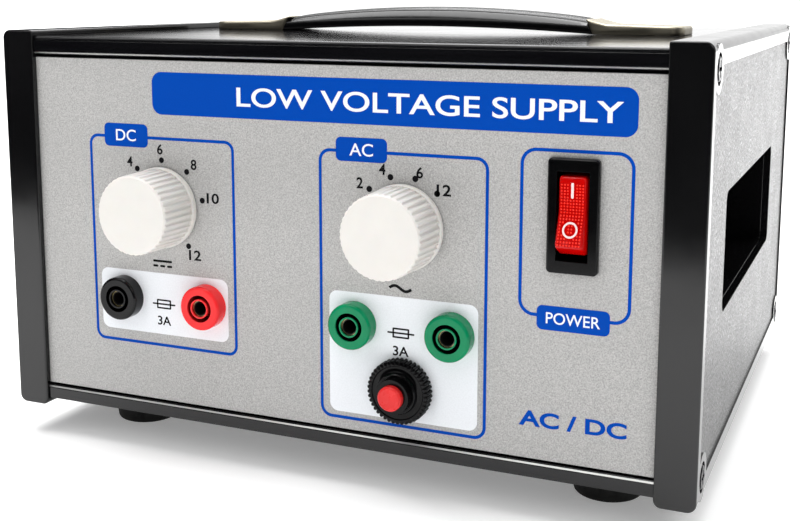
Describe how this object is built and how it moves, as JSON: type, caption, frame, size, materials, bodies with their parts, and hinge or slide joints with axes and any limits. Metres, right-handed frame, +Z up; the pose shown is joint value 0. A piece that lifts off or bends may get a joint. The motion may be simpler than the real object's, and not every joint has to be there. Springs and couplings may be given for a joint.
{
  "type": "bench power supply",
  "caption": "Benchtop low-voltage AC and DC power supply in a plastic-framed metal case with dials, shrouded sockets, rocker switch, resettable breaker and strap handle.",
  "frame": {"origin": "centre of the overall box, on the surface the feet stand on", "axes": "+X to the right facing the front panel, +Y to the rear, +Z up"},
  "size_m": [0.2224, 0.2144, 0.14],
  "materials": {
    "frame_plastic": "satin, finely textured on the outer faces",
    "black_aluminium": "black anodised",
    "panel_silver": "silver-grey fine sparkle paint",
    "rear_paint": "satin black",
    "black_screw": "black oxide",
    "zinc": "zinc plated",
    "foot_rubber": "matt",
    "grip_plastic": "satin ribbed",
    "nickel": "bright nickel plate",
    "ivory_plastic": "semi gloss moulded",
    "control_can": "satin",
    "black_gloss": "gloss",
    "rocker_red": "translucent gloss",
    "socket_black": "gloss",
    "socket_red": "gloss",
    "socket_green": "gloss",
    "contact_brass": "nickel plated",
    "button_red": "semi gloss",
    "core_steel": "varnished laminations",
    "winding": "taped copper",
    "board": "green solder mask",
    "component": "moulded",
    "heatsink": "plain",
    "wire": "insulated",
    "fuse_glass": "clear"
  },
  "bodies": {
    "chassis": {"left_side_frame": "frame_plastic", "right_side_frame": "frame_plastic", "left_hand_recess": "frame_plastic", "right_hand_recess": "frame_plastic", "top_cover": "black_aluminium", "bottom_cover": "rear_paint", "top_front_rail": "black_aluminium", "bottom_front_rail": "black_aluminium", "top_rear_rail": "black_aluminium", "bottom_rear_rail": "black_aluminium", "front_panel": "panel_silver", "rear_panel": "rear_paint", "frame_screws": "black_screw", "rubber_feet": "foot_rubber", "foot_screws": "zinc", "m4_nuts": "zinc", "left_handle_cap": "nickel", "right_handle_cap": "nickel", "handle_screws": "zinc", "dc_voltage_control": "control_can", "dc_control_nut": "zinc", "ac_selector_switch": "component", "ac_selector_nut": "zinc", "power_switch_housing": "black_gloss", "power_switch_terminals": "contact_brass", "black_socket": "socket_black", "red_socket": "socket_red", "left_green_socket": "socket_green", "right_green_socket": "socket_green", "socket_contacts": "contact_brass", "socket_nuts": "black_gloss", "breaker_body": "black_gloss", "breaker_nut": "black_gloss", "breaker_terminals": "contact_brass", "transformer_core": "core_steel", "transformer_windings": "winding", "transformer_bracket": "zinc", "transformer_screws": "zinc", "circuit_board": "board", "board_spacers": "contact_brass", "board_screws": "zinc", "bridge_rectifier": "component", "smoothing_capacitor": "component", "heatsink": "heatsink", "voltage_regulator": "component", "mains_inlet": "black_gloss", "inlet_pins": "contact_brass", "internal_wiring": "wire"},
    "handle": {"handle_grip": "grip_plastic", "handle_strap": "zinc"},
    "dc_dial": {"dc_knob": "ivory_plastic", "dc_control_shaft": "control_can"},
    "ac_dial": {"ac_knob": "ivory_plastic", "ac_selector_shaft": "control_can"},
    "power_rocker": {"power_switch_rocker": "rocker_red"},
    "reset_button": {"breaker_button": "button_red"},
    "fuse_carrier": {"fuse_drawer": "black_gloss", "fuse": "fuse_glass"}
  },
  "joints": [
    {"name": "handle_lift", "type": "slide", "parent": "chassis", "child": "handle", "axis": [0, 0, 1], "range_m": [0, 0.018], "deforming": ["handle_strap"]},
    {"name": "dc_knob_turn", "type": "hinge", "parent": "chassis", "child": "dc_dial", "pos_m": [-0.0534, -0.0908, 0.0795], "axis": [0, 1, 0], "range_deg": [0, 180]},
    {"name": "ac_knob_turn", "type": "hinge", "parent": "chassis", "child": "ac_dial", "pos_m": [0.0268, -0.0908, 0.0795], "axis": [0, 1, 0], "range_deg": [0, 90]},
    {"name": "power_rocker_tilt", "type": "hinge", "parent": "chassis", "child": "power_rocker", "pos_m": [0.076, -0.0868, 0.0865], "axis": [1, 0, 0], "range_deg": [0, 22]},
    {"name": "reset_button_slide", "type": "slide", "parent": "chassis", "child": "reset_button", "axis": [0, -1, 0], "range_m": [0, 0.004]},
    {"name": "fuse_drawer_slide", "type": "slide", "parent": "chassis", "child": "fuse_carrier", "axis": [0, 1, 0], "range_m": [0, 0.018]}
  ]
}
